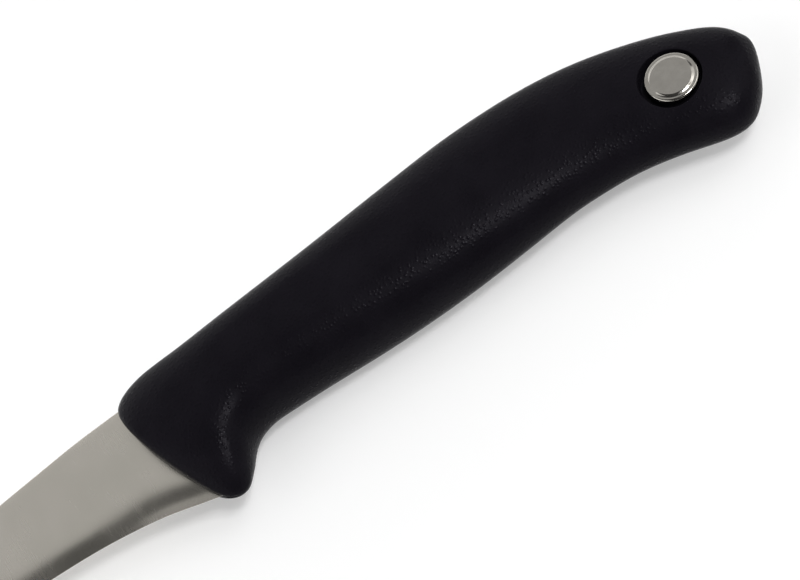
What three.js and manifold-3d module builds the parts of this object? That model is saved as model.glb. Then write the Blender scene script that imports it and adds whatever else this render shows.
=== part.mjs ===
// Paring knife with a stamped steel blade, a one-piece moulded handle and a
// two-part rivet near the butt. Millimetres, +Z up.
//
// Drawing frame: X runs from the tip to the butt, with 0 at the front of the
// handle; Y runs from the cutting edge to the spine, with 0 on the spine; Z is
// the thickness, with 0 on the middle plane. The finished knife lies on its
// side, centred on X and Y, with its lowest point on Z = 0.
import * as THREE from 'three';
import Module from 'manifold-3d';
import { mergeVertices } from 'three/addons/utils/BufferGeometryUtils.js';

// ---- driving dimensions ---------------------------------------------------
const GAP = 0.3;               // clearance between neighbouring pieces

const BLADE_HALF = 0.8;        // half the blade thickness
const EDGE_HALF = 0.1;         // half the thickness left at the cutting edge
const TANG_HALF = 0.75;        // half the tang thickness

const SECTION_POWER = 2.35;    // roundness of the handle section (2 = ellipse)
const NOSE_POWERS = [1.90, 1.93, 1.98, 2.05, 2.15, 2.24, 2.32];  // rounder sections at the nose
const NOSE_THIN = [0.62, 0.60, 0.54, 0.44, 0.32, 0.18, 0.07];     // thinning of the guard toward its lower end
const SECTION_POINTS = 28;     // points around one handle section
const SIDE_FLAT = 7.2;         // height of the level flats on the handle's two sides

const RIVET_X = 93.53;         // rivet axis
const RIVET_Y = -13.22;
const HEAD_R = 4.07;           // rivet head radius
const HEAD_EDGE = 0.65;        // straight part of the head's side
const HEAD_RISE = 0.25;        // height of the dome above the side
const RECESS_X = 93.38;        // middle of the round recess around the head
const RECESS_R = 4.68;
const RECESS_FLOOR = 4.0;      // height of the recess floor above the middle plane
const SOCKET_R = 2.5;          // hollow stem, outside
const SOCKET_BORE_R = 1.7;     // hollow stem, inside
const STEM_R = 1.4;            // solid stem
const LOCK_HOLES = [[24, -7.1], [52, -7.4]];  // holes in the tang that the moulding fills
const LOCK_HOLE_R = 3.0;

// Blade stations from the tip to the root: spine, start of the grind, middle of
// the grind and cutting edge, each as [x, y], then the half thickness.
const BLADE = [
  [[-89.45, -10.58], [-89.5, -10.68], [-89.5, -10.74], [-89.5, -10.8], 0.22],
  [[-88.0, -10.2], [-88.0, -10.82], [-88.0, -11.02], [-88.0, -11.22], 0.3],
  [[-84.5, -9.28], [-84.5, -10.9], [-84.5, -11.4], [-84.5, -11.9], 0.42],
  [[-78.0, -7.72], [-78.0, -10.9], [-78.0, -11.8], [-78.0, -12.72], 0.58],
  [[-68.0, -5.72], [-68.0, -10.85], [-68.0, -12.2], [-68.0, -13.6], 0.72],
  [[-55.0, -3.86], [-55.0, -10.9], [-55.0, -12.6], [-55.0, -14.36], BLADE_HALF],
  [[-40.0, -2.3], [-40.0, -11.1], [-40.0, -13.05], [-40.0, -15.05], BLADE_HALF],
  [[-25.0, -1.1], [-25.0, -11.6], [-25.0, -13.75], [-25.0, -15.92], BLADE_HALF],
  [[-14.6, -0.44], [-14.6, -12.2], [-14.5, -14.5], [-14.4, -16.84], BLADE_HALF],
  [[-8.0, -0.04], [-7.8, -12.8], [-7.5, -15.4], [-7.2, -17.98], BLADE_HALF],
  [[-3.4, 0.0], [-2.2, -13.4], [-1.6, -16.4], [-1.0, -19.54], BLADE_HALF],
  [[0.6, 0.0], [2.3, -14.4], [3.6, -18.0], [5.0, -21.66], BLADE_HALF],
  [[1.6, -1.6], [3.8, -14.4], [5.3, -17.8], [6.9, -21.1], BLADE_HALF],
];

// Outline of the tang, which is set a little thinner than the blade.
const TANG = [
  [-5.0, -3.0], [3.0, -3.0], [30.0, -3.1], [60.0, -3.0], [74.0, -3.6], [83.0, -5.8],
  [91.0, -8.9], [95.4, -9.6], [98.2, -11.8], [98.6, -15.2], [96.6, -18.2], [92.6, -18.9],
  [87.0, -16.4], [80.0, -13.4], [72.0, -11.7], [60.0, -11.2], [30.0, -11.2], [14.5, -11.6],
  [10.6, -13.8], [8.3, -17.2], [6.9, -20.2], [4.2, -18.6], [1.2, -14.0], [-5.0, -13.0],
];
// Outline of the blade root where it enters the handle.
const ROOT = [
  [-3.4, 0.0], [0.6, 0.0], [1.6, -1.6], [3.6, -3.4], [7.2, -14.0], [6.9, -21.1],
  [5.0, -21.66], [-1.0, -19.54],
];

// Handle stations from the mouth to the butt: top x, y, bottom x, y, half
// thickness, and the forward bow of the section.
const HANDLE = [
  [1.42, 0.42, 7.00, -22.70, 3.90, 2.62],
  [1.50, 0.55, 7.12, -22.88, 4.45, 2.62],
  [1.80, 0.88, 7.48, -23.20, 4.90, 2.56],
  [2.38, 1.28, 8.10, -23.52, 5.22, 2.38],
  [3.25, 1.66, 8.98, -23.62, 5.52, 2.05],
  [4.68, 2.02, 10.21, -23.18, 5.82, 1.60],
  [6.70, 2.20, 11.34, -21.92, 6.10, 1.17],
  [9.13, 2.14, 12.51, -20.25, 6.37, 0.78],
  [11.67, 1.99, 13.71, -18.47, 6.60, 0.46],
  [14.40, 1.86, 15.36, -16.90, 6.85, 0.22],
  [17.71, 1.82, 18.00, -15.97, 7.15, 0.08],
  [21.80, 1.88, 21.60, -16.00, 7.38, 0.00],
  [27.65, 2.02, 27.50, -16.47, 7.50, 0.00],
  [34.47, 2.27, 34.35, -17.23, 7.50, 0.00],
  [41.30, 2.60, 41.37, -17.88, 7.42, 0.00],
  [48.13, 3.01, 48.38, -18.29, 7.22, 0.00],
  [54.96, 3.41, 55.20, -18.43, 6.92, 0.00],
  [61.31, 3.69, 61.46, -18.35, 6.55, 0.00],
  [67.64, 3.58, 66.78, -18.21, 6.15, 0.00],
  [73.96, 3.09, 71.71, -18.17, 5.80, 0.00],
  [80.25, 2.06, 76.43, -18.54, 5.55, 0.00],
  [86.20, 0.44, 81.14, -19.18, 5.40, 0.00],
  [91.52, -1.57, 85.81, -20.37, 5.30, 0.00],
  [96.04, -3.62, 90.07, -21.87, 5.20, 0.00],
  [99.67, -5.64, 93.76, -23.34, 5.05, 0.00],
  [102.14, -7.20, 96.92, -24.17, 4.70, 0.00],
  [103.93, -8.68, 99.73, -23.74, 4.10, 0.00],
  [105.14, -10.19, 102.07, -21.87, 3.20, 0.00],
  [105.88, -11.61, 103.98, -19.28, 2.10, 0.00],
  [106.20, -13.40, 105.95, -14.90, 0.70, 0.00],
];

// ---- solids ---------------------------------------------------------------
const wasm = await Module();
wasm.setup();

function solid(geometry) {
  const bare = geometry.clone();
  for (const name of ['normal', 'uv']) bare.deleteAttribute(name);
  const welded = mergeVertices(bare, 1e-4);
  const position = Float32Array.from(welded.attributes.position.array);
  const corners = Array.from(welded.index.array);
  const kept = [];
  for (let i = 0; i < corners.length; i += 3) {
    const face = corners.slice(i, i + 3);
    if (new Set(face).size === 3) kept.push(...face);
  }
  const index = Uint32Array.from(kept);
  // Turn the faces outward when the enclosed volume comes out negative.
  let volume = 0;
  const a = new THREE.Vector3(), b = new THREE.Vector3(), c = new THREE.Vector3();
  for (let i = 0; i < index.length; i += 3) {
    a.fromArray(position, 3 * index[i]);
    b.fromArray(position, 3 * index[i + 1]);
    c.fromArray(position, 3 * index[i + 2]);
    volume += a.dot(b.cross(c));
  }
  if (volume < 0) for (let i = 0; i < index.length; i += 3) [index[i], index[i + 1]] = [index[i + 1], index[i]];
  return new wasm.Manifold(new wasm.Mesh({ numProp: 3, vertProperties: position, triVerts: index }));
}

function meshGeometry(manifold) {
  const mesh = manifold.getMesh();
  const geometry = new THREE.BufferGeometry();
  geometry.setAttribute('position', new THREE.BufferAttribute(Float32Array.from(mesh.vertProperties), 3));
  geometry.setIndex(new THREE.BufferAttribute(Uint32Array.from(mesh.triVerts), 1));
  geometry.computeVertexNormals();
  return geometry;
}

// Skin over a row of equal closed rings whose points mirror each other in Z:
// point k pairs with point n - k - shift. Each end is closed by a strip.
function loft(rings, shift) {
  const n = rings[0].length;
  const position = rings.flat().flatMap((p) => [p.x, p.y, p.z]);
  const index = [];
  for (let r = 0; r + 1 < rings.length; r++) {
    for (let k = 0; k < n; k++) {
      const k1 = (k + 1) % n;
      const p = r * n + k, q = r * n + k1, s = (r + 1) * n + k, t = (r + 1) * n + k1;
      index.push(p, q, t, p, t, s);
    }
  }
  for (const [r, flip] of [[0, false], [rings.length - 1, true]]) {
    const pair = (k) => (2 * n - k - shift) % n;
    for (let k = 0; k < n / 2; k++) {
      const quad = [k, pair(k), pair(k + 1), k + 1].map((i) => r * n + i);
      for (const tri of [[0, 1, 2], [0, 2, 3]]) {
        const face = tri.map((i) => quad[i]);
        if (new Set(face).size < 3) continue;
        index.push(...(flip ? [face[0], face[2], face[1]] : face));
      }
    }
  }
  const geometry = new THREE.BufferGeometry();
  geometry.setAttribute('position', new THREE.Float32BufferAttribute(position, 3));
  geometry.setIndex(index);
  return geometry;
}

function plate(outline, half) {
  const shape = new THREE.Shape(outline.map(([x, y]) => new THREE.Vector2(x, y)));
  return new THREE.ExtrudeGeometry(shape, { depth: 2 * half, bevelEnabled: false }).translate(0, 0, -half);
}

// Outline moved outward by d along its corner normals (clockwise outlines).
function grow(outline, d) {
  return outline.map((p, i) => {
    const before = new THREE.Vector2(...outline[(i + outline.length - 1) % outline.length]);
    const after = new THREE.Vector2(...outline[(i + 1) % outline.length]);
    const at = new THREE.Vector2(...p);
    const u = at.clone().sub(before).normalize();
    const v = after.clone().sub(at).normalize();
    const nu = new THREE.Vector2(-u.y, u.x), nv = new THREE.Vector2(-v.y, v.x);
    const out = nu.clone().add(nv).normalize();
    const reach = Math.min(d / Math.max(out.dot(nu), 0.35), 2.2 * d);
    return [p[0] + out.x * reach, p[1] + out.y * reach];
  });
}

// Upright round peg or hole between two heights.
function peg(x, y, r, low, high, segments = 32) {
  return new THREE.CylinderGeometry(r, r, high - low, segments)
    .rotateX(Math.PI / 2)
    .translate(x, y, (low + high) / 2);
}

// ---- blade ----------------------------------------------------------------
const bladeRings = BLADE.map(([spine, grind, middle, edge, half]) => {
  const hollow = EDGE_HALF + (half - EDGE_HALF) * 0.42;
  const last = Math.min(EDGE_HALF, half * 0.5);
  const upper = [[spine, half], [grind, half], [middle, hollow], [edge, last]];
  const lower = [...upper].reverse().map(([p, z]) => [p, -z]);
  return [...upper, ...lower].map(([[x, y], z]) => new THREE.Vector3(x, y, z));
});
const tangHoles = [...LOCK_HOLES.map(([x, y]) => [x, y, LOCK_HOLE_R]), [RIVET_X, RIVET_Y, SOCKET_R + GAP]];
let bladeSolid = solid(loft(bladeRings, 1)).add(solid(plate(TANG, TANG_HALF)));
for (const [x, y, r] of tangHoles) bladeSolid = bladeSolid.subtract(solid(peg(x, y, r, -3, 3)));

// ---- handle ---------------------------------------------------------------
const power = (v, e) => Math.sign(v) * Math.abs(v) ** e;
const handleRings = HANDLE.map(([tx, ty, bx, by, half, bow], row) => {
  const ring = [];
  const exponent = 2 / (NOSE_POWERS[row] ?? SECTION_POWER);
  const thin = NOSE_THIN[row] ?? 0;
  for (let k = 0; k < SECTION_POINTS; k++) {
    const angle = (2 * Math.PI * k) / SECTION_POINTS;
    const v = power(Math.cos(angle), exponent);
    const share = (v + 1) / 2;
    const thick = half * (1 - thin * (1 - share) ** 3);
    const z = Math.abs(Math.sin(angle)) < 1e-9 ? 0 : thick * power(Math.sin(angle), exponent);
    const x = bx + (tx - bx) * share - bow * Math.sqrt(Math.max(1 - v * v, 0)) * (1 + 0.2 * v);
    ring.push(new THREE.Vector3(x, by + (ty - by) * share, z));
  }
  return ring;
});
const slotHalf = BLADE_HALF + GAP;
let slot = solid(plate(grow(TANG, GAP), slotHalf)).add(solid(plate(grow(ROOT, GAP), slotHalf)));
for (const [x, y] of LOCK_HOLES) slot = slot.subtract(solid(peg(x, y, LOCK_HOLE_R - GAP, -3, 3)));
const handleSolid = solid(loft(handleRings, 0))
  .intersect(solid(new THREE.BoxGeometry(400, 200, 2 * SIDE_FLAT)))
  .subtract(slot)
  .subtract(solid(peg(RIVET_X, RIVET_Y, SOCKET_R + GAP, -12, 12)))
  .subtract(solid(peg(RECESS_X, RIVET_Y, RECESS_R, RECESS_FLOOR, 12, 48)))
  .subtract(solid(peg(RECESS_X, RIVET_Y, RECESS_R, -12, -RECESS_FLOOR, 48)));

// ---- rivet ----------------------------------------------------------------
// Each half is one turned profile: radius against height.
const headLow = RECESS_FLOOR + GAP;
const headSide = headLow + HEAD_EDGE;
const headProfile = [
  [HEAD_R - 0.15, headLow], [HEAD_R, headLow + 0.15], [HEAD_R, headSide - 0.3],
  [HEAD_R - 0.12, headSide - 0.08], [HEAD_R - 0.4, headSide + 0.05],
  [HEAD_R * 0.66, headSide + HEAD_RISE * 0.62], [HEAD_R * 0.33, headSide + HEAD_RISE * 0.92],
  [0, headSide + HEAD_RISE],
];
const turned = (profile) => new THREE.LatheGeometry(profile.map(([r, z]) => new THREE.Vector2(r, z)), 40)
  .rotateX(Math.PI / 2);
const stemEnd = -2.4;
const boreEnd = -3.0;
const socketEnd = 3.4;
const male = turned([[0, stemEnd], [STEM_R - 0.2, stemEnd], [STEM_R, stemEnd + 0.3], [STEM_R, headLow], ...headProfile]);
const female = turned([
  [0, boreEnd], [SOCKET_BORE_R, boreEnd], [SOCKET_BORE_R, socketEnd], [SOCKET_R, socketEnd], [SOCKET_R, -headLow],
  ...headProfile.map(([r, z]) => [r, -z]),
]);
const place = (geometry) => geometry.translate(RIVET_X, RIVET_Y, 0);

// ---- assembly -------------------------------------------------------------
const satinSteel = new THREE.MeshStandardMaterial({ color: 0xa7a49e, roughness: 0.38, metalness: 1.0 });
const blackPlastic = new THREE.MeshStandardMaterial({ color: 0x141416, roughness: 0.55, metalness: 0.0 });
const brightSteel = new THREE.MeshStandardMaterial({ color: 0xc4c4c2, roughness: 0.16, metalness: 1.0 });
const brightSteelBack = brightSteel.clone();

const knife = new THREE.Group();
function piece(name, manifold, material) {
  const mesh = new THREE.Mesh(meshGeometry(manifold), material);
  mesh.name = name;
  knife.add(mesh);
}
piece('blade', bladeSolid, satinSteel);
piece('handle', handleSolid, blackPlastic);
piece('rivet_male', solid(place(male)), brightSteel);
piece('rivet_female', solid(place(female)), brightSteelBack);

const box = new THREE.Box3().setFromObject(knife);
knife.position.set(-(box.min.x + box.max.x) / 2, -(box.min.y + box.max.y) / 2, -box.min.z);

const group = new THREE.Group();
group.name = 'paring_knife';
group.add(knife);

export default group;
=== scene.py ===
import bmesh
import bpy
import math
import numpy as np
from mathutils import Matrix, Vector


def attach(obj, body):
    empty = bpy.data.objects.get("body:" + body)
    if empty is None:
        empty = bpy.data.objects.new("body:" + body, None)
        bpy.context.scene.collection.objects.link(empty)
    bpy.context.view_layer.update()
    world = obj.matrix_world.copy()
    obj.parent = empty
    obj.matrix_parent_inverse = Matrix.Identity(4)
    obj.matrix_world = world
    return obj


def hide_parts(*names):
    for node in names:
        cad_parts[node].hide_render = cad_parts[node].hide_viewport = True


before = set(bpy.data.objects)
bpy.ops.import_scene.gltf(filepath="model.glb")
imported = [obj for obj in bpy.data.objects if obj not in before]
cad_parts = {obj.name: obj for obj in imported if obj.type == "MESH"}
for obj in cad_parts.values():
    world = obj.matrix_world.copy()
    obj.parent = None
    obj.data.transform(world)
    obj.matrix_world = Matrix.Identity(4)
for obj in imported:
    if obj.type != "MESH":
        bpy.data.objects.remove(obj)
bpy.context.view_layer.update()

# ---------------------------------------------------------------------------
# Drawing frame, in millimetres: X from the tip to the butt with 0 at the front
# of the handle, Y from the edge to the spine with 0 on the spine, Z through the
# thickness with 0 on the middle plane. OFFSET moves it into the row frame.
# ---------------------------------------------------------------------------
MM = 0.001
OFFSET = np.array([-8.35, 10.24, 7.2])


def to_row(points):
    return (np.asarray(points, float) + OFFSET) * MM


# Handle stations: top x, y, bottom x, y, half thickness, forward bow.
HANDLE = np.array([
    [1.42, 0.42, 7.00, -22.70, 3.90, 2.62],
    [1.50, 0.55, 7.12, -22.88, 4.45, 2.62],
    [1.80, 0.88, 7.48, -23.20, 4.90, 2.56],
    [2.38, 1.28, 8.10, -23.52, 5.22, 2.38],
    [3.25, 1.66, 8.98, -23.62, 5.52, 2.05],
    [4.68, 2.02, 10.21, -23.18, 5.82, 1.60],
    [6.70, 2.20, 11.34, -21.92, 6.10, 1.17],
    [9.13, 2.14, 12.51, -20.25, 6.37, 0.78],
    [11.67, 1.99, 13.71, -18.47, 6.60, 0.46],
    [14.40, 1.86, 15.36, -16.90, 6.85, 0.22],
    [17.71, 1.82, 18.00, -15.97, 7.15, 0.08],
    [21.80, 1.88, 21.60, -16.00, 7.38, 0.00],
    [27.65, 2.02, 27.50, -16.47, 7.50, 0.00],
    [34.47, 2.27, 34.35, -17.23, 7.50, 0.00],
    [41.30, 2.60, 41.37, -17.88, 7.42, 0.00],
    [48.13, 3.01, 48.38, -18.29, 7.22, 0.00],
    [54.96, 3.41, 55.20, -18.43, 6.92, 0.00],
    [61.31, 3.69, 61.46, -18.35, 6.55, 0.00],
    [67.64, 3.58, 66.78, -18.21, 6.15, 0.00],
    [73.96, 3.09, 71.71, -18.17, 5.80, 0.00],
    [80.25, 2.06, 76.43, -18.54, 5.55, 0.00],
    [86.20, 0.44, 81.14, -19.18, 5.40, 0.00],
    [91.52, -1.57, 85.81, -20.37, 5.30, 0.00],
    [96.04, -3.62, 90.07, -21.87, 5.20, 0.00],
    [99.67, -5.64, 93.76, -23.34, 5.05, 0.00],
    [102.14, -7.20, 96.92, -24.17, 4.70, 0.00],
    [103.93, -8.68, 99.73, -23.74, 4.10, 0.00],
    [105.14, -10.19, 102.07, -21.87, 3.20, 0.00],
    [105.88, -11.61, 103.98, -19.28, 2.10, 0.00],
])
BUTT = np.array([106.20, -14.30])
POWER = 2.35
NOSE_POWERS = [1.90, 1.93, 1.98, 2.05, 2.15, 2.24, 2.32]
NOSE_THIN = [0.62, 0.60, 0.54, 0.44, 0.32, 0.18, 0.07]
SIDE_FLAT = 7.2                        # level flats on the handle's two sides

RIVET = (93.53, -13.22)
HEAD_R = 4.07
RECESS = (93.28, -13.22)
RECESS_R = 4.80
RECESS_FLOOR = 4.0


class Spline:
    """Natural cubic spline through evenly numbered values."""

    def __init__(self, values):
        y = np.asarray(values, float)
        n = len(y)
        a = np.zeros((n, n))
        r = np.zeros(n)
        a[0, 0] = a[-1, -1] = 1.0
        for i in range(1, n - 1):
            a[i, i - 1:i + 2] = (1.0, 4.0, 1.0)
            r[i] = 6.0 * (y[i - 1] - 2.0 * y[i] + y[i + 1])
        self.y, self.m, self.n = y, np.linalg.solve(a, r), n

    def __call__(self, t):
        t = np.asarray(t, float)
        i = np.clip(np.floor(t).astype(int), 0, self.n - 2)
        f = t - i
        g = 1.0 - f
        return (self.y[i] * g + self.y[i + 1] * f
                + ((g ** 3 - g) * self.m[i] + (f ** 3 - f) * self.m[i + 1]) / 6.0)


def along(x, xs, ys):
    return np.interp(x, xs, ys)


def smooth(a, b, t):
    t = np.clip((t - a) / (b - a), 0.0, 1.0)
    return t * t * (3.0 - 2.0 * t)


def make_object(name, points, faces, sharp=None):
    mesh = bpy.data.meshes.new(name)
    mesh.from_pydata([tuple(p) for p in points], [], faces)
    mesh.validate()
    bm = bmesh.new()
    bm.from_mesh(mesh)
    bmesh.ops.remove_doubles(bm, verts=bm.verts, dist=1e-8)
    bmesh.ops.recalc_face_normals(bm, faces=bm.faces)
    bm.to_mesh(mesh)
    bm.free()
    finish_shading(mesh, sharp)
    obj = bpy.data.objects.new(name, mesh)
    bpy.context.scene.collection.objects.link(obj)
    return obj


def finish_shading(mesh, sharp):
    mesh.polygons.foreach_set("use_smooth", [True] * len(mesh.polygons))
    if sharp is not None:
        mesh.set_sharp_from_angle(angle=math.radians(sharp))


# ---------------------------------------------------------------------------
# Handle
# ---------------------------------------------------------------------------
LAST = len(HANDLE)                     # the butt's pole comes after the last station
around_x = Spline(np.concatenate([HANDLE[:, 0], BUTT[:1], HANDLE[::-1, 2]]))
around_y = Spline(np.concatenate([HANDLE[:, 1], BUTT[1:], HANDLE[::-1, 3]]))
half_of = Spline(np.concatenate([HANDLE[:, 4], [0.0], -HANDLE[::-1, 4]]))
bow_of = Spline(np.concatenate([HANDLE[:, 5], [0.0]]))
power_of = Spline(NOSE_POWERS + [POWER] * (LAST + 1 - len(NOSE_POWERS)))
thin_of = Spline(NOSE_THIN + [0.0] * (LAST + 1 - len(NOSE_THIN)))


def station(u):
    u = np.asarray(u, float)
    top = np.stack([around_x(u), around_y(u)], -1)
    bottom = np.stack([around_x(2 * LAST - u), around_y(2 * LAST - u)], -1)
    return top, bottom, np.maximum(half_of(u), 0.0), np.maximum(bow_of(u), 0.0)


AROUND = 144
angles = np.arange(AROUND) * 2.0 * math.pi / AROUND
ring_cos, ring_sin = np.cos(angles), np.sin(angles)
ring_cos[[AROUND // 4, 3 * AROUND // 4]] = 0.0
ring_sin[[0, AROUND // 2]] = 0.0


def ring(u, half=None, back=0.0):
    top, bottom, w, bow = station(u)
    exponent = 2.0 / float(power_of(u))
    ring_v = np.sign(ring_cos) * np.abs(ring_cos) ** exponent
    ring_z = np.sign(ring_sin) * np.abs(ring_sin) ** exponent
    share = (ring_v + 1.0) / 2.0
    x = bottom[0] + (top[0] - bottom[0]) * share
    x = x - bow * np.sqrt(np.maximum(1.0 - ring_v ** 2, 0.0)) * (1.0 + 0.2 * ring_v) + back
    y = bottom[1] + (top[1] - bottom[1]) * share
    z = ring_z * (w if half is None else half)
    taper = 1.0 - max(float(thin_of(u)), 0.0) * (1.0 - share) ** 3
    if half is None or half > 1.3:
        z = z * taper
    else:
        z = z * (1.0 + (taper - 1.0) * max(half - 0.82, 0.0) / 0.48)
    z = np.sign(z) * (SIDE_FLAT - 0.12 * np.log1p(np.exp((SIDE_FLAT - np.abs(z)) / 0.12)))
    return np.stack([x, y, z], -1)


def side_height(x, y):
    """Height of the handle's side above the middle plane at (x, y), behind the front."""
    low, high = 11.0, LAST - 0.02
    for _ in range(60):
        u = 0.5 * (low + high)
        top, bottom, w, _b = station(u)
        d = top - bottom
        if (x - bottom[0]) * d[1] - (y - bottom[1]) * d[0] > 0.0:
            low = u
        else:
            high = u
    top, bottom, w, _b = station(0.5 * (low + high))
    d = top - bottom
    v = 2.0 * ((x - bottom[0]) * d[0] + (y - bottom[1]) * d[1]) / float(d @ d) - 1.0
    return float(w * max(1.0 - abs(v) ** POWER, 0.0) ** (1.0 / POWER))


def build_handle():
    # Even spacing along the length, measured on the outline.
    u = np.linspace(0.0, LAST, 4001)
    top, bottom, w, _b = station(u)
    step = (np.linalg.norm(np.diff(top, axis=0), axis=1) + np.linalg.norm(np.diff(bottom, axis=0), axis=1)
            + np.abs(np.diff(w)) * 1.2)
    run = np.concatenate([[0.0], np.cumsum(step)])
    picks = np.interp(np.linspace(0.0, run[-1], 262), run, u)[:-1]
    # The lip rolls in from the first station to the blade.
    rings = [ring(0.0, 0.82, 1.6), ring(0.0, 0.82, 0.7), ring(0.0, 0.85, 0.26), ring(0.0, 0.93, 0.09),
             ring(0.0, 1.06, 0.02), ring(0.0, 1.25, 0.0), ring(0.0, 1.8, 0.0), ring(0.0, 2.5, 0.0),
             ring(0.0, 3.2, 0.0), ring(0.0, 3.65, 0.0)]
    rings += [ring(v) for v in picks]
    points = np.concatenate(rings + [np.array([[BUTT[0], BUTT[1], 0.0]])])
    faces = []
    count = len(rings)
    for r in range(count - 1):
        for k in range(AROUND):
            q = (k + 1) % AROUND
            faces.append((r * AROUND + k, r * AROUND + q, (r + 1) * AROUND + q, (r + 1) * AROUND + k))
    pole = count * AROUND
    for k in range(AROUND):
        faces.append(((count - 1) * AROUND + k, (count - 1) * AROUND + (k + 1) % AROUND, pole))
    # The inside end of the lip is closed by a strip across the slot.
    for k in range(AROUND // 2):
        quad = [k, (AROUND - k) % AROUND, (AROUND - k - 1) % AROUND, k + 1]
        seen = []
        for i in quad:
            if i not in seen:
                seen.append(i)
        if len(seen) > 2:
            faces.append(tuple(seen))
    obj = make_object("handle_grip", to_row(points), faces)

    # Round recesses for the two rivet heads, with a rolled rim.
    for side in (1, -1):
        n = 160
        t = np.arange(n) * 2.0 * math.pi / n
        # The head sits on the middle of the floor; the gap around it runs deeper.
        levels = [(3.62, RECESS_FLOOR), (3.72, RECESS_FLOOR - 0.03), (3.80, RECESS_FLOOR - 0.85), (3.92, RECESS_FLOOR - 1.0),
                  (RECESS_R - 0.30, RECESS_FLOOR - 1.0), (RECESS_R - 0.10, RECESS_FLOOR - 0.95), (RECESS_R, RECESS_FLOOR - 0.82)]
        lip = [(0.0, -0.20), (0.02, -0.12), (0.06, -0.055), (0.13, -0.012), (0.22, 0.012), (0.40, 0.05), (0.6, 1.2)]
        loops = []
        for r, z in levels:
            loops.append([(RECESS[0] + r * math.cos(a), RECESS[1] + r * math.sin(a), z) for a in t])
        for out, dz in lip:
            r = RECESS_R + out
            loops.append([(RECESS[0] + r * math.cos(a), RECESS[1] + r * math.sin(a),
                           side_height(RECESS[0] + r * math.cos(a), RECESS[1] + r * math.sin(a)) + dz) for a in t])
        pts = [p for loop in loops for p in loop]
        cut_faces = []
        for r in range(len(loops) - 1):
            for k in range(n):
                q = (k + 1) % n
                cut_faces.append((r * n + k, r * n + q, (r + 1) * n + q, (r + 1) * n + k))
        cut_faces.append(tuple(range(n)))
        cut_faces.append(tuple(range((len(loops) - 1) * n, len(loops) * n)))
        pts = np.array(pts)
        pts[:, 2] *= side
        cutter = make_object("recess_cutter", to_row(pts), cut_faces)
        mod = obj.modifiers.new("recess", "BOOLEAN")
        mod.operation = "DIFFERENCE"
        mod.solver = "EXACT"
        mod.object = cutter
        deps = bpy.context.evaluated_depsgraph_get()
        mesh = bpy.data.meshes.new_from_object(obj.evaluated_get(deps))
        obj.modifiers.clear()
        old = obj.data
        obj.data = mesh
        bpy.data.meshes.remove(old)
        bpy.data.objects.remove(cutter)
    obj.data.name = "handle_grip"
    finish_shading(obj.data, 38)
    return obj


# ---------------------------------------------------------------------------
# Blade
# ---------------------------------------------------------------------------
SPINE = np.array([
    [-89.45, -10.62], [-88.6, -10.38], [-86.6, -9.85], [-83.0, -8.90], [-77.0, -7.50], [-68.0, -5.72], [-55.0, -3.86],
    [-40.0, -2.30], [-25.0, -1.10], [-14.6, -0.42], [-8.0, -0.05], [-3.6, 0.0], [0.0, 0.0], [2.6, -0.1]])
EDGE = np.array([
    [-89.55, -10.78], [-88.6, -11.05], [-86.6, -11.52], [-83.0, -12.12], [-77.0, -12.83], [-68.0, -13.60], [-55.0, -14.36],
    [-40.0, -15.05], [-25.0, -15.92], [-14.2, -16.86], [-7.2, -18.00], [-1.9, -19.27], [3.2, -21.00], [7.6, -22.42]])
spine_x, spine_y = Spline(SPINE[:, 0]), Spline(SPINE[:, 1])
edge_x, edge_y = Spline(EDGE[:, 0]), Spline(EDGE[:, 1])
BLADE_HALF = 0.8


def soften(values, width=21):
    """The values along the blade with their corners rounded off."""
    kernel = np.hanning(width + 2)[1:-1]
    return np.convolve(np.pad(values, width // 2, mode="edge"), kernel / kernel.sum(), mode="valid")


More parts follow.
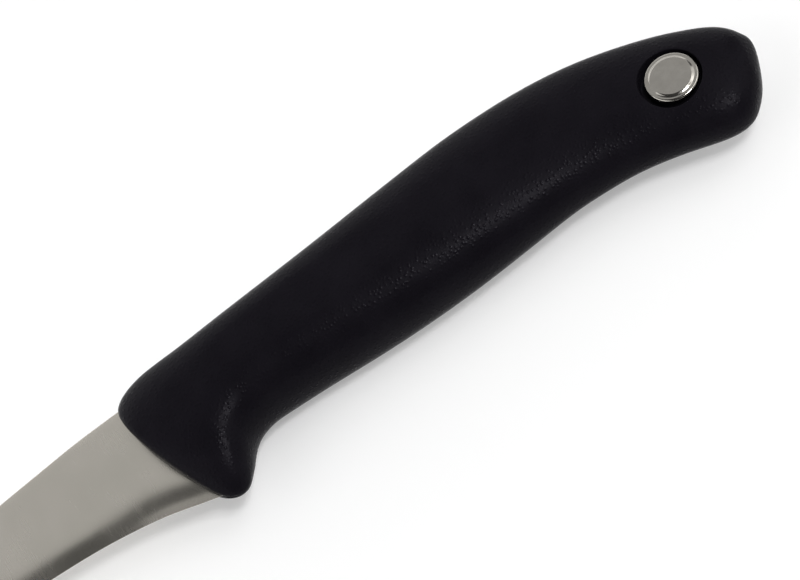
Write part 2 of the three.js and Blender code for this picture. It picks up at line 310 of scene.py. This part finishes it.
def build_blade():
    rows = 300
    u = np.linspace(0.0, 1.0, rows)
    u = (len(SPINE) - 1) * u
    s = np.stack([spine_x(u), spine_y(u)], -1)
    e = np.stack([edge_x(u), edge_y(u)], -1)
    length = np.linalg.norm(e - s, axis=1)
    half = along(s[:, 0], [-89.5, -84.0, -76.0, -66.0, -52.0, 5.0], [0.16, 0.34, 0.52, 0.68, 0.8, 0.8])
    # Where the hollow grind starts, where it is steepest, and how far it eases off below that.
    shoulder = np.minimum(along(e[:, 0], [-60.0, -25.0, -13.5, -3.3, 6.0], [4.9, 5.0, 4.9, 7.0, 7.4]), 0.42 * length)
    band = np.minimum(along(e[:, 0], [-25.0, -13.1, -8.2, -5.2, -2.3, -0.1, 6.0], [0.9, 1.0, 1.3, 2.1, 2.6, 2.8, 2.9]), 0.16 * length)
    ease = along(e[:, 0], [-10.0, -7.5, -5.0, 0.0], [0.0, 0.14, 0.52, 0.59])
    shoulder, band, ease = soften(shoulder), soften(band), soften(ease)
    # Distances from the edge: fine near the edge, coarse on the flat.
    frac = np.concatenate([np.linspace(0.0, 0.4, 56), np.linspace(0.4, 1.0, 22)[1:]])
    upper = []
    for i in range(rows):
        q = frac * length[i]
        fine = np.linspace(0.0, length[i], 900)
        ramp = np.clip((shoulder[i] - fine) / (shoulder[i] - band[i]), 0.0, 1.0) ** 1.9
        strip = 1.0 - ease[i] * (1.0 - smooth(0.36, 0.85, fine / band[i]))
        slope = 0.06 + 0.94 * np.where(fine < band[i], strip, ramp)    # the flats taper a little too
        # Soften the corner between the two.
        kernel = np.hanning(31)
        slope = np.convolve(np.pad(slope, 15, mode="edge"), kernel / kernel.sum(), mode="valid")
        rise = np.concatenate([[0.0], np.cumsum(0.5 * (slope[1:] + slope[:-1]) * np.diff(fine))])
        rise = rise / rise[-1]
        edge_half = min(0.035, 0.4 * half[i])
        z = edge_half + (half[i] - edge_half) * np.interp(q, fine, rise)
        direction = (s[i] - e[i]) / length[i]
        xy = e[i] + direction * q[:, None]
        # The spine's corner is broken by a small round.
        r = min(0.16, 0.3 * half[i], 0.2 * length[i])
        body = q < length[i] - r - 1e-6
        xs = [np.array([xy[k, 0], xy[k, 1], z[k]]) for k in range(len(q)) if body[k]]
        while len(xs) < len(q) - 1:
            xs.append(None)
        missing = [k for k, p in enumerate(xs) if p is None]
        start = max(k for k, p in enumerate(xs) if p is not None)
        flat_end = length[i] - r
        for j, k in enumerate(missing):
            t = (j + 1) / len(missing)
            d = q[start] + (flat_end - q[start]) * t
            xs[k] = np.array([*(e[i] + direction * d), np.interp(d, q, z)])
        top_half = xs[-1][2]
        if not missing:
            d = flat_end
            xs[-1] = np.array([*(e[i] + direction * d), top_half])
        for turn in (30, 60, 90):
            a = math.radians(turn)
            d = flat_end + r * math.sin(a)
            xs.append(np.array([*(e[i] + direction * d), top_half - r + r * math.cos(a)]))
        upper.append(np.array(xs))
    n = upper[0].shape[0]
    points = []
    for row in upper:
        lower = row[::-1].copy()
        lower[:, 2] *= -1.0
        points.append(np.concatenate([row, lower]))
    m = 2 * n
    faces = []
    for r in range(rows - 1):
        for k in range(m):
            q = (k + 1) % m
            faces.append((r * m + k, r * m + q, (r + 1) * m + q, (r + 1) * m + k))
    for r, flip in ((0, True), (rows - 1, False)):
        for k in range(n - 1):
            quad = (r * m + k, r * m + k + 1, r * m + m - 2 - k, r * m + m - 1 - k)
            faces.append(quad[::-1] if flip else quad)
    return make_object("blade_steel_body", to_row(np.concatenate(points)), faces, 40)


# ---------------------------------------------------------------------------
# Rivet halves
# ---------------------------------------------------------------------------
# The head is a round flange with a plain raised pad on it, joined by a soft step.
HEAD = ([(1.42, 4.06), (3.90, 4.06), (4.03, 4.13), (HEAD_R, 4.27), (HEAD_R, 4.58), (4.057, 4.68), (4.02, 4.77), (3.955, 4.845),
         (3.87, 4.885), (3.78, 4.905), (3.68, 4.913), (3.60, 4.916)]
        + [(3.55 - 0.56 * k / 14.0, 4.917 + 0.185 * (3.0 * (k / 14.0) ** 2 - 2.0 * (k / 14.0) ** 3)) for k in range(15)]
        + [(2.9, 5.105), (2.7, 5.115), (2.4, 5.13), (1.9, 5.152), (1.3, 5.172), (0.6, 5.187), (0.0, 5.19)])


def lathe(name, profile, side):
    n = 128
    t = np.arange(n) * 2.0 * math.pi / n
    points, rows = [], []
    for r, z in profile:
        if r == 0.0:
            rows.append([len(points)])
            points.append((RIVET[0], RIVET[1], side * z))
        else:
            rows.append(list(range(len(points), len(points) + n)))
            points.extend((RIVET[0] + r * math.cos(a), RIVET[1] + r * math.sin(a), side * z) for a in t)
    faces = []
    for a, b in zip(rows[:-1], rows[1:]):
        for k in range(n):
            q = (k + 1) % n
            if len(a) == 1:
                faces.append((a[0], b[q], b[k]))
            elif len(b) == 1:
                faces.append((a[k], a[q], b[0]))
            else:
                faces.append((a[k], a[q], b[q], b[k]))
    return make_object(name, to_row(points), faces, 50)


# ---------------------------------------------------------------------------
# Materials
# ---------------------------------------------------------------------------
class Nodes:
    def __init__(self, name):
        self.material = bpy.data.materials.new(name)
        self.material.use_nodes = True
        self.tree = self.material.node_tree
        self.bsdf = self.tree.nodes["Principled BSDF"]
        self.coord = self.add("ShaderNodeTexCoord").outputs["Object"]

    def add(self, kind, **values):
        node = self.tree.nodes.new(kind)
        for key, value in values.items():
            setattr(node, key, value)
        return node

    def link(self, a, b):
        self.tree.links.new(a, b)

    def noise(self, scale, stretch=(1.0, 1.0, 1.0), detail=3.0, rough=0.55):
        mapping = self.add("ShaderNodeMapping")
        mapping.inputs["Scale"].default_value = stretch
        self.link(self.coord, mapping.inputs["Vector"])
        node = self.add("ShaderNodeTexNoise")
        node.inputs["Scale"].default_value = scale
        node.inputs["Detail"].default_value = detail
        node.inputs["Roughness"].default_value = rough
        self.link(mapping.outputs["Vector"], node.inputs["Vector"])
        return node.outputs["Fac"]

    def dots(self, scale, radius):
        """Small round domes scattered over the surface, 1 at the top and 0 between them."""
        node = self.add("ShaderNodeTexVoronoi")
        node.inputs["Scale"].default_value = scale
        self.link(self.coord, node.inputs["Vector"])
        return self.ramp(node.outputs["Distance"], 1.0, 0.0, 0.0, radius, "SMOOTHSTEP")

    def ramp(self, value, low, high, a=0.3, b=0.7, kind="LINEAR"):
        node = self.add("ShaderNodeMapRange", interpolation_type=kind)
        node.inputs["From Min"].default_value = a
        node.inputs["From Max"].default_value = b
        node.inputs["To Min"].default_value = low
        node.inputs["To Max"].default_value = high
        self.link(value, node.inputs["Value"])
        return node.outputs["Result"]

    def math(self, op, a, b):
        node = self.add("ShaderNodeMath", operation=op)
        for socket, v in zip(node.inputs, (a, b)):
            if isinstance(v, (int, float)):
                socket.default_value = v
            else:
                self.link(v, socket)
        return node.outputs[0]

    def mix(self, fac, a, b):
        node = self.add("ShaderNodeMix", data_type="RGBA")
        self.link(fac, node.inputs["Factor"])
        node.inputs["A"].default_value = (*a, 1.0)
        node.inputs["B"].default_value = (*b, 1.0)
        return node.outputs["Result"]

    def bump(self, height, strength, distance, normal=None):
        node = self.add("ShaderNodeBump")
        node.inputs["Strength"].default_value = strength
        node.inputs["Distance"].default_value = distance
        self.link(height, node.inputs["Height"])
        if normal is not None:
            self.link(normal, node.inputs["Normal"])
        return node.outputs["Normal"]

    def set(self, **values):
        for key, value in values.items():
            socket = self.bsdf.inputs[key.replace("_", " ")]
            if isinstance(value, (int, float, tuple)):
                socket.default_value = value
            else:
                self.link(value, socket)


def plastic():
    m = Nodes("moulded_black_plastic")
    grain = m.noise(2600.0, detail=2.0, rough=0.6)
    speck = m.dots(1650.0, 0.55)
    patch = m.noise(150.0, detail=3.0)
    colour = m.mix(m.ramp(patch, 0.0, 1.0), (0.0057, 0.0050, 0.0070), (0.0077, 0.0068, 0.0093))
    rough = m.math("SUBTRACT", m.math("ADD", m.ramp(grain, 0.29, 0.35), m.ramp(patch, -0.03, 0.04)),
                   m.math("MULTIPLY", speck, 0.16))
    height = m.math("ADD", m.math("MULTIPLY", grain, 0.12), m.math("MULTIPLY", speck, 0.52))
    normal = m.bump(height, 1.0, 0.00006)
    m.set(Base_Color=colour, Roughness=rough, Normal=normal, Specular_IOR_Level=0.032, Specular_Tint=(0.93, 0.90, 1.0, 1.0))
    return m.material


def satin():
    m = Nodes("satin_blade_steel")
    lines = m.noise(1100.0, (7.0, 0.10, 0.10), detail=2.0)
    cloud = m.noise(170.0, (1.0, 0.7, 1.0), detail=3.0)
    wide = m.noise(55.0, detail=2.0)
    tone = m.math("ADD", m.ramp(cloud, -0.25, 0.25), m.ramp(wide, 0.0, 1.0))
    colour = m.mix(tone, (0.550, 0.526, 0.468), (0.622, 0.586, 0.530))
    rough = m.math("ADD", m.ramp(lines, 0.252, 0.270), m.ramp(cloud, -0.02, 0.02))
    normal = m.bump(lines, 0.022, 0.00002)
    m.set(Base_Color=colour, Metallic=1.0, Roughness=rough, Normal=normal)
    return m.material


def polished():
    m = Nodes("polished_rivet_steel")
    scuff = m.noise(1500.0, (1.0, 3.0, 1.0), detail=2.0)
    cloud = m.noise(700.0, detail=2.0)
    colour = m.mix(m.ramp(cloud, 0.0, 1.0), (0.350, 0.333, 0.303), (0.395, 0.377, 0.345))
    rough = m.math("ADD", m.ramp(scuff, 0.11, 0.18), m.ramp(cloud, -0.02, 0.03))
    normal = m.bump(scuff, 0.06, 0.00002)
    m.set(Base_Color=colour, Metallic=1.0, Roughness=rough, Normal=normal)
    return m.material


PLASTIC, SATIN, POLISHED = plastic(), satin(), polished()

# ---------------------------------------------------------------------------
# Pieces
# ---------------------------------------------------------------------------
handle = build_handle()
blade = build_blade()
male = lathe("rivet_head_upper", [(0.0, -2.4), (1.2, -2.4), (1.4, -2.1), (1.4, 4.06)] + HEAD, 1)
female = lathe("rivet_head_lower", [(0.0, 3.0), (1.7, 3.0), (1.7, -3.4), (2.5, -3.4), (2.5, 4.06)]
               + [p for p in HEAD if p[0] > 2.5 or p[1] > 4.2], -1)

for piece, node, slot, material in ((handle, "handle", "handle_plastic", PLASTIC), (blade, "blade", "blade_steel", SATIN),
                                    (male, "rivet_male", "rivet_steel", POLISHED),
                                    (female, "rivet_female", "rivet_steel", POLISHED)):
    piece.data.materials.clear()
    piece.data.materials.append(material)
    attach(piece, "root")
    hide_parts(node)

# ---------------------------------------------------------------------------
# Stage: pale floor, soft light, camera
# ---------------------------------------------------------------------------
# The floor sweeps up into a pale backdrop behind the knife (+Y) and past its tip (-X).
EXTENT, COVE, WALL = 6.0, 1.6, 3.0
sweep = [(EXTENT - COVE, 0.0)]
sweep += [(EXTENT - COVE + COVE * math.sin(math.radians(a)), COVE - COVE * math.cos(math.radians(a))) for a in range(5, 91, 5)]
sweep += [(EXTENT, WALL)]
grid_x = [(EXTENT, 0.0), (0.0, 0.0)] + [(-run, rise) for run, rise in sweep]
grid_y = [(-EXTENT, 0.0), (0.0, 0.0)] + sweep
floor_points = [(x, y, max(zx, zy)) for x, zx in grid_x for y, zy in grid_y]
floor_faces = [(i * len(grid_y) + j, i * len(grid_y) + j + 1, (i + 1) * len(grid_y) + j + 1, (i + 1) * len(grid_y) + j)
               for i in range(len(grid_x) - 1) for j in range(len(grid_y) - 1)]
floor_mesh = bpy.data.meshes.new("floor")
floor_mesh.from_pydata(floor_points, [], floor_faces)
floor_mesh.polygons.foreach_set("use_smooth", [True] * len(floor_mesh.polygons))
floor = bpy.data.objects.new("floor", floor_mesh)
bpy.context.scene.collection.objects.link(floor)
fm = Nodes("pale_floor")
fm.set(Base_Color=(0.66, 0.66, 0.66, 1.0), Roughness=0.9, Specular_IOR_Level=0.1)
fm.bsdf.inputs["Emission Color"].default_value = (1.0, 1.0, 1.0, 1.0)
fm_height = fm.add("ShaderNodeSeparateXYZ")
fm.link(fm.coord, fm_height.inputs["Vector"])
fm_reach = fm.add("ShaderNodeVectorMath", operation="LENGTH")
fm.link(fm.coord, fm_reach.inputs[0])
# Past the reach of the lamps the sheet glows a little more, so it stays white up to the backdrop.
fm.set(Emission_Strength=fm.math("SUBTRACT", fm.ramp(fm_reach.outputs["Value"], 0.34, 0.97, 0.3, 1.3),
                                 fm.ramp(fm_height.outputs["Z"], 0.0, 0.30, 0.4, 1.0)))
floor_mesh.materials.append(fm.material)

world = bpy.data.worlds.new("studio")
bpy.context.scene.world = world
world.use_nodes = True
world.node_tree.nodes["Background"].inputs["Color"].default_value = (1.0, 1.0, 1.0, 1.0)
world.node_tree.nodes["Background"].inputs["Strength"].default_value = 0.05


def softbox(name, place, target, width, height, power):
    light = bpy.data.lights.new(name, "AREA")
    light.shape = "RECTANGLE"
    light.size, light.size_y, light.energy = width, height, power
    obj = bpy.data.objects.new(name, light)
    bpy.context.scene.collection.objects.link(obj)
    obj.location = place
    obj.rotation_euler = (Vector(target) - Vector(place)).to_track_quat("-Z", "Y").to_euler()
    return obj


softbox("back_softbox", (0.0, 1.26, 1.1), (0.0, 0.0, 0.0), 3.4, 1.70, 10.8)
softbox("front_lamp", (0.39, -0.43, 1.15), (0.04, 0.0, 0.0), 0.36, 0.24, 7.3)
softbox("top_softbox", (0.62, 0.05, 1.18), (0.06, 0.0, 0.0), 0.5, 0.8, 2.1)
softbox("far_panel", (2.1, -2.1, 0.8), (0.0, 0.0, 0.0), 1.2, 0.8, 3.0)
softbox("left_softbox", (-1.62, -0.1, 1.09), (0.0, 0.0, 0.0), 1.8, 1.8, 12.0)
softbox("right_softbox", (1.62, -0.1, 1.09), (0.0, 0.0, 0.0), 1.8, 1.8, 12.0)

TILT = math.radians(33.0)              # camera tilt from straight down, toward the edge side
TURN = math.atan2(60.0, 81.0)          # turn of the knife in the frame
REACH = 440.0                          # camera distance, mm
PX_PER_MM = 6.9                        # at that distance, in an 800 pixel wide frame
aim = to_row([44.1, -11.8, 0.0])
right = np.array([1.0, 0.0, 0.0])
up = np.array([0.0, math.cos(TILT), math.sin(TILT)])
back = np.array([0.0, -math.sin(TILT), math.cos(TILT)])
c, s = math.cos(TURN), math.sin(TURN)
cam_right, cam_up = c * right - s * up, s * right + c * up
cam_data = bpy.data.cameras.new("photo_camera")
cam_data.sensor_width = 36.0
cam_data.lens = 36.0 * PX_PER_MM * REACH / 800.0
cam_data.clip_start = 0.01
camera = bpy.data.objects.new("photo_camera", cam_data)
bpy.context.scene.collection.objects.link(camera)
place = aim + back * REACH * MM
camera.matrix_world = Matrix([[cam_right[i], cam_up[i], back[i], place[i]] for i in range(3)] + [[0, 0, 0, 1]])
bpy.context.scene.camera = camera

bpy.context.scene.view_settings.view_transform = "Standard"
bpy.context.scene.view_settings.look = "None"

bpy.context.view_layer.update()
